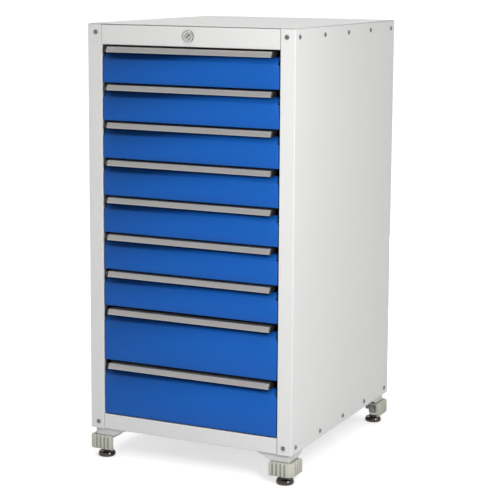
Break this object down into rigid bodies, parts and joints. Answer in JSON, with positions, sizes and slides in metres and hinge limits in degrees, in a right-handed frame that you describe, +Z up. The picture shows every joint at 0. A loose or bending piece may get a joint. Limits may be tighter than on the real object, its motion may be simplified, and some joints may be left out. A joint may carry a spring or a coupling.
{
  "type": "tool chest",
  "caption": "Free-standing sheet-steel tool chest: drawers on full-extension runners, handle strips along their tops, a cam lock with a locking bar, and levelling feet.",
  "frame": {"origin": "on the floor under the middle of the whole chest", "axes": "+Z up, -Y towards the drawers' fronts, +X to the right seen from the front"},
  "size_m": [0.61, 0.718, 1.185],
  "materials": {
    "white_enamel": "semi-gloss enamel",
    "blue_enamel": "semi-gloss enamel",
    "tray_enamel": "satin enamel",
    "handle_aluminium": "satin anodised",
    "zinc_steel": "zinc plated",
    "lock_chrome": "polished",
    "glide_chrome": "polished",
    "cover_plastic": "satin"
  },
  "bodies": {
    "cabinet": {"side_panel_left": "white_enamel", "side_panel_right": "white_enamel", "back_panel": "white_enamel", "top_panel": "white_enamel", "base_panel": "white_enamel", "top_fascia": "white_enamel", "bottom_rail": "white_enamel", "inner_frame": "zinc_steel", "cabinet_runners": "zinc_steel", "panel_screws": "zinc_steel", "lock_housing": "lock_chrome", "foot_brackets": "white_enamel", "foot_covers": "cover_plastic"},
    "lock": {"lock_plug": "lock_chrome", "lock_cam": "zinc_steel"},
    "locking_bar": {"lock_bar": "zinc_steel"},
    "drawer_1": {"drawer_1_front": "blue_enamel", "drawer_1_handle": "handle_aluminium", "drawer_1_tray": "tray_enamel"},
    "drawer_1_mid": {"drawer_1_mid_rails": "zinc_steel"},
    "drawer_2": {"drawer_2_front": "blue_enamel", "drawer_2_handle": "handle_aluminium", "drawer_2_tray": "tray_enamel"},
    "drawer_2_mid": {"drawer_2_mid_rails": "zinc_steel"},
    "drawer_3": {"drawer_3_front": "blue_enamel", "drawer_3_handle": "handle_aluminium", "drawer_3_tray": "tray_enamel"},
    "drawer_3_mid": {"drawer_3_mid_rails": "zinc_steel"},
    "drawer_4": {"drawer_4_front": "blue_enamel", "drawer_4_handle": "handle_aluminium", "drawer_4_tray": "tray_enamel"},
    "drawer_4_mid": {"drawer_4_mid_rails": "zinc_steel"},
    "drawer_5": {"drawer_5_front": "blue_enamel", "drawer_5_handle": "handle_aluminium", "drawer_5_tray": "tray_enamel"},
    "drawer_5_mid": {"drawer_5_mid_rails": "zinc_steel"},
    "drawer_6": {"drawer_6_front": "blue_enamel", "drawer_6_handle": "handle_aluminium", "drawer_6_tray": "tray_enamel"},
    "drawer_6_mid": {"drawer_6_mid_rails": "zinc_steel"},
    "drawer_7": {"drawer_7_front": "blue_enamel", "drawer_7_handle": "handle_aluminium", "drawer_7_tray": "tray_enamel"},
    "drawer_7_mid": {"drawer_7_mid_rails": "zinc_steel"},
    "drawer_8": {"drawer_8_front": "blue_enamel", "drawer_8_handle": "handle_aluminium", "drawer_8_tray": "tray_enamel"},
    "drawer_8_mid": {"drawer_8_mid_rails": "zinc_steel"},
    "drawer_9": {"drawer_9_front": "blue_enamel", "drawer_9_handle": "handle_aluminium", "drawer_9_tray": "tray_enamel"},
    "drawer_9_mid": {"drawer_9_mid_rails": "zinc_steel"},
    "pad_fl": {"foot_pad_fl": "glide_chrome"},
    "spindle_fl": {"foot_spindle_fl": "zinc_steel"},
    "pad_fr": {"foot_pad_fr": "glide_chrome"},
    "spindle_fr": {"foot_spindle_fr": "zinc_steel"},
    "pad_bl": {"foot_pad_bl": "glide_chrome"},
    "spindle_bl": {"foot_spindle_bl": "zinc_steel"},
    "pad_br": {"foot_pad_br": "glide_chrome"},
    "spindle_br": {"foot_spindle_br": "zinc_steel"}
  },
  "joints": [
    {"name": "lock_turn", "type": "hinge", "parent": "cabinet", "child": "lock", "pos_m": [0, -0.346, 1.1575], "axis": [0, 1, 0], "range_deg": [0, 90.1]},
    {"name": "bar_slide", "type": "slide", "parent": "cabinet", "child": "locking_bar", "axis": [0, 0, -1], "range_m": [0, 0.01131]},
    {"name": "drawer_1_slide", "type": "slide", "parent": "cabinet", "child": "drawer_1", "axis": [0, -1, 0], "range_m": [0, 0.63]},
    {"name": "drawer_1_mid_slide", "type": "slide", "parent": "cabinet", "child": "drawer_1_mid", "axis": [0, -1, 0], "range_m": [0, 0.315]},
    {"name": "drawer_2_slide", "type": "slide", "parent": "cabinet", "child": "drawer_2", "axis": [0, -1, 0], "range_m": [0, 0.63]},
    {"name": "drawer_2_mid_slide", "type": "slide", "parent": "cabinet", "child": "drawer_2_mid", "axis": [0, -1, 0], "range_m": [0, 0.315]},
    {"name": "drawer_3_slide", "type": "slide", "parent": "cabinet", "child": "drawer_3", "axis": [0, -1, 0], "range_m": [0, 0.63]},
    {"name": "drawer_3_mid_slide", "type": "slide", "parent": "cabinet", "child": "drawer_3_mid", "axis": [0, -1, 0], "range_m": [0, 0.315]},
    {"name": "drawer_4_slide", "type": "slide", "parent": "cabinet", "child": "drawer_4", "axis": [0, -1, 0], "range_m": [0, 0.63]},
    {"name": "drawer_4_mid_slide", "type": "slide", "parent": "cabinet", "child": "drawer_4_mid", "axis": [0, -1, 0], "range_m": [0, 0.315]},
    {"name": "drawer_5_slide", "type": "slide", "parent": "cabinet", "child": "drawer_5", "axis": [0, -1, 0], "range_m": [0, 0.63]},
    {"name": "drawer_5_mid_slide", "type": "slide", "parent": "cabinet", "child": "drawer_5_mid", "axis": [0, -1, 0], "range_m": [0, 0.315]},
    {"name": "drawer_6_slide", "type": "slide", "parent": "cabinet", "child": "drawer_6", "axis": [0, -1, 0], "range_m": [0, 0.63]},
    {"name": "drawer_6_mid_slide", "type": "slide", "parent": "cabinet", "child": "drawer_6_mid", "axis": [0, -1, 0], "range_m": [0, 0.315]},
    {"name": "drawer_7_slide", "type": "slide", "parent": "cabinet", "child": "drawer_7", "axis": [0, -1, 0], "range_m": [0, 0.63]},
    {"name": "drawer_7_mid_slide", "type": "slide", "parent": "cabinet", "child": "drawer_7_mid", "axis": [0, -1, 0], "range_m": [0, 0.315]},
    {"name": "drawer_8_slide", "type": "slide", "parent": "cabinet", "child": "drawer_8", "axis": [0, -1, 0], "range_m": [0, 0.63]},
    {"name": "drawer_8_mid_slide", "type": "slide", "parent": "cabinet", "child": "drawer_8_mid", "axis": [0, -1, 0], "range_m": [0, 0.315]},
    {"name": "drawer_9_slide", "type": "slide", "parent": "cabinet", "child": "drawer_9", "axis": [0, -1, 0], "range_m": [0, 0.63]},
    {"name": "drawer_9_mid_slide", "type": "slide", "parent": "cabinet", "child": "drawer_9_mid", "axis": [0, -1, 0], "range_m": [0, 0.315]},
    {"name": "foot_fl_lift", "type": "slide", "parent": "cabinet", "child": "pad_fl", "axis": [0, 0, -1], "range_m": [0, 0.02]},
    {"name": "foot_fl_turn", "type": "hinge", "parent": "pad_fl", "child": "spindle_fl", "pos_m": [-0.269, -0.315, 0.033], "axis": [0, 0, -1], "range_deg": [0, 4114.29]},
    {"name": "foot_fr_lift", "type": "slide", "parent": "cabinet", "child": "pad_fr", "axis": [0, 0, -1], "range_m": [0, 0.02]},
    {"name": "foot_fr_turn", "type": "hinge", "parent": "pad_fr", "child": "spindle_fr", "pos_m": [0.269, -0.315, 0.033], "axis": [0, 0, -1], "range_deg": [0, 4114.29]},
    {"name": "foot_bl_lift", "type": "slide", "parent": "cabinet", "child": "pad_bl", "axis": [0, 0, -1], "range_m": [0, 0.02]},
    {"name": "foot_bl_turn", "type": "hinge", "parent": "pad_bl", "child": "spindle_bl", "pos_m": [-0.269, 0.323, 0.033], "axis": [0, 0, -1], "range_deg": [0, 4114.29]},
    {"name": "foot_br_lift", "type": "slide", "parent": "cabinet", "child": "pad_br", "axis": [0, 0, -1], "range_m": [0, 0.02]},
    {"name": "foot_br_turn", "type": "hinge", "parent": "pad_br", "child": "spindle_br", "pos_m": [0.269, 0.323, 0.033], "axis": [0, 0, -1], "range_deg": [0, 4114.29]}
  ],
  "couplings": [
    {"joint": "lock_turn", "follows": "bar_slide", "rad_per_m": 138.84},
    {"joint": "drawer_1_mid_slide", "follows": "drawer_1_slide", "ratio": 0.5},
    {"joint": "drawer_2_mid_slide", "follows": "drawer_2_slide", "ratio": 0.5},
    {"joint": "drawer_3_mid_slide", "follows": "drawer_3_slide", "ratio": 0.5},
    {"joint": "drawer_4_mid_slide", "follows": "drawer_4_slide", "ratio": 0.5},
    {"joint": "drawer_5_mid_slide", "follows": "drawer_5_slide", "ratio": 0.5},
    {"joint": "drawer_6_mid_slide", "follows": "drawer_6_slide", "ratio": 0.5},
    {"joint": "drawer_7_mid_slide", "follows": "drawer_7_slide", "ratio": 0.5},
    {"joint": "drawer_8_mid_slide", "follows": "drawer_8_slide", "ratio": 0.5},
    {"joint": "drawer_9_mid_slide", "follows": "drawer_9_slide", "ratio": 0.5},
    {"joint": "foot_fl_turn", "follows": "foot_fl_lift", "rad_per_m": 3590.4},
    {"joint": "foot_fr_turn", "follows": "foot_fr_lift", "rad_per_m": 3590.4},
    {"joint": "foot_bl_turn", "follows": "foot_bl_lift", "rad_per_m": 3590.4},
    {"joint": "foot_br_turn", "follows": "foot_br_lift", "rad_per_m": 3590.4}
  ]
}
